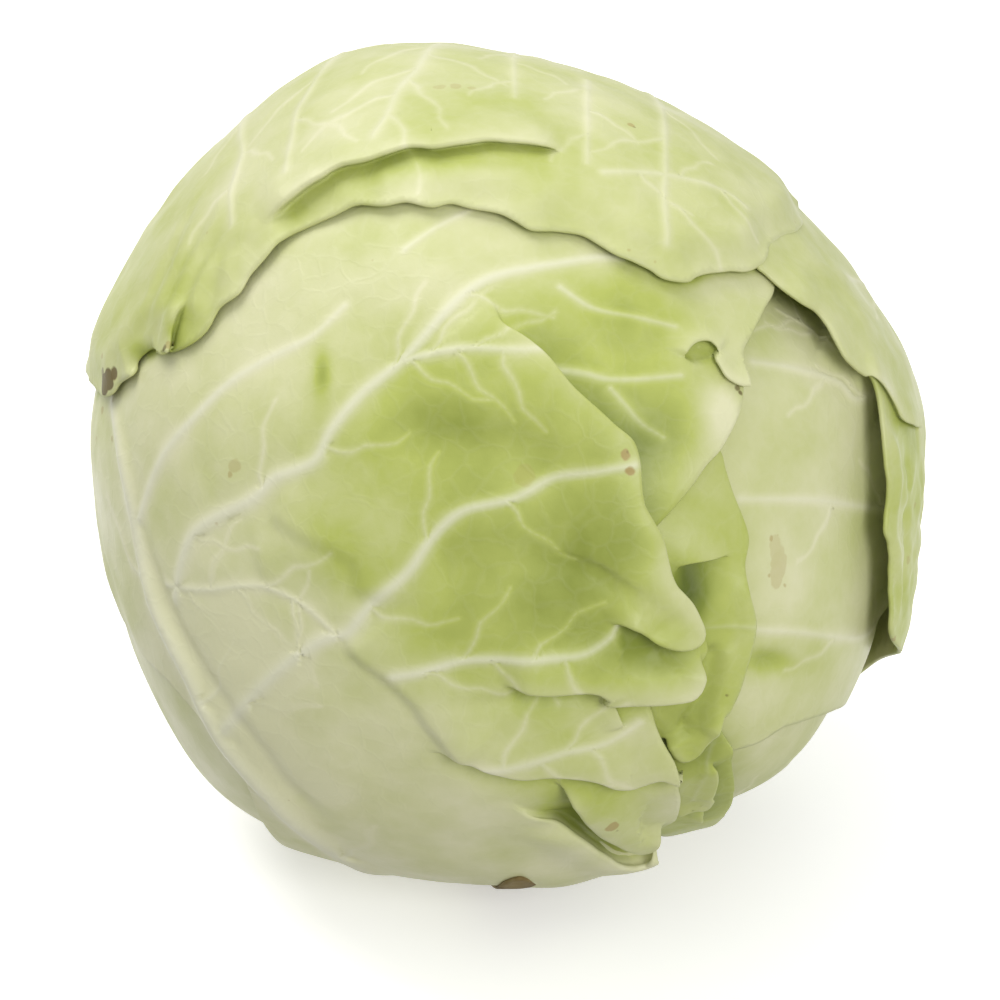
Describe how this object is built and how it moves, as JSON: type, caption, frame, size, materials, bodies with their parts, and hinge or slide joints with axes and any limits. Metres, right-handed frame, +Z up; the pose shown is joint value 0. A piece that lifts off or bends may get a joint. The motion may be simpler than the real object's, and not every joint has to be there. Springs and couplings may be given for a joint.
{
  "type": "green cabbage",
  "caption": "Round head of green cabbage with pale, veined leaves, a puckered leaf margin at the front and a flat cut stalk to stand on.",
  "frame": {"origin": "centre of the cut face of the stalk, on the surface that the head stands on", "axes": "+Z up out of the surface, through the head, -Y towards the front with the puckered leaf margin, +X to the right of that view"},
  "size_m": [0.1746, 0.1763, 0.1715],
  "materials": {
    "cut_stalk": "cream cut face of a stalk, dried to tan at the rim",
    "heart_leaf": "pale inner leaves, smooth and faintly waxy",
    "pale_leaf": "pale yellow-green leaf with whitish veins, faintly waxy",
    "green_leaf": "yellow-green leaf with pale veins, faintly waxy",
    "dried_leaf": "dried brown foot of a trimmed leaf, matt"
  },
  "bodies": {
    "root": {"stump": "cut_stalk", "heart": "heart_leaf", "lower_leaf": "pale_leaf", "right_leaf": "pale_leaf", "left_leaf": "pale_leaf", "tucked_leaf": "green_leaf", "front_leaf": "green_leaf", "side_leaf": "green_leaf", "cap_leaf": "green_leaf", "leaf_stub": "dried_leaf"}
  },
  "joints": []
}
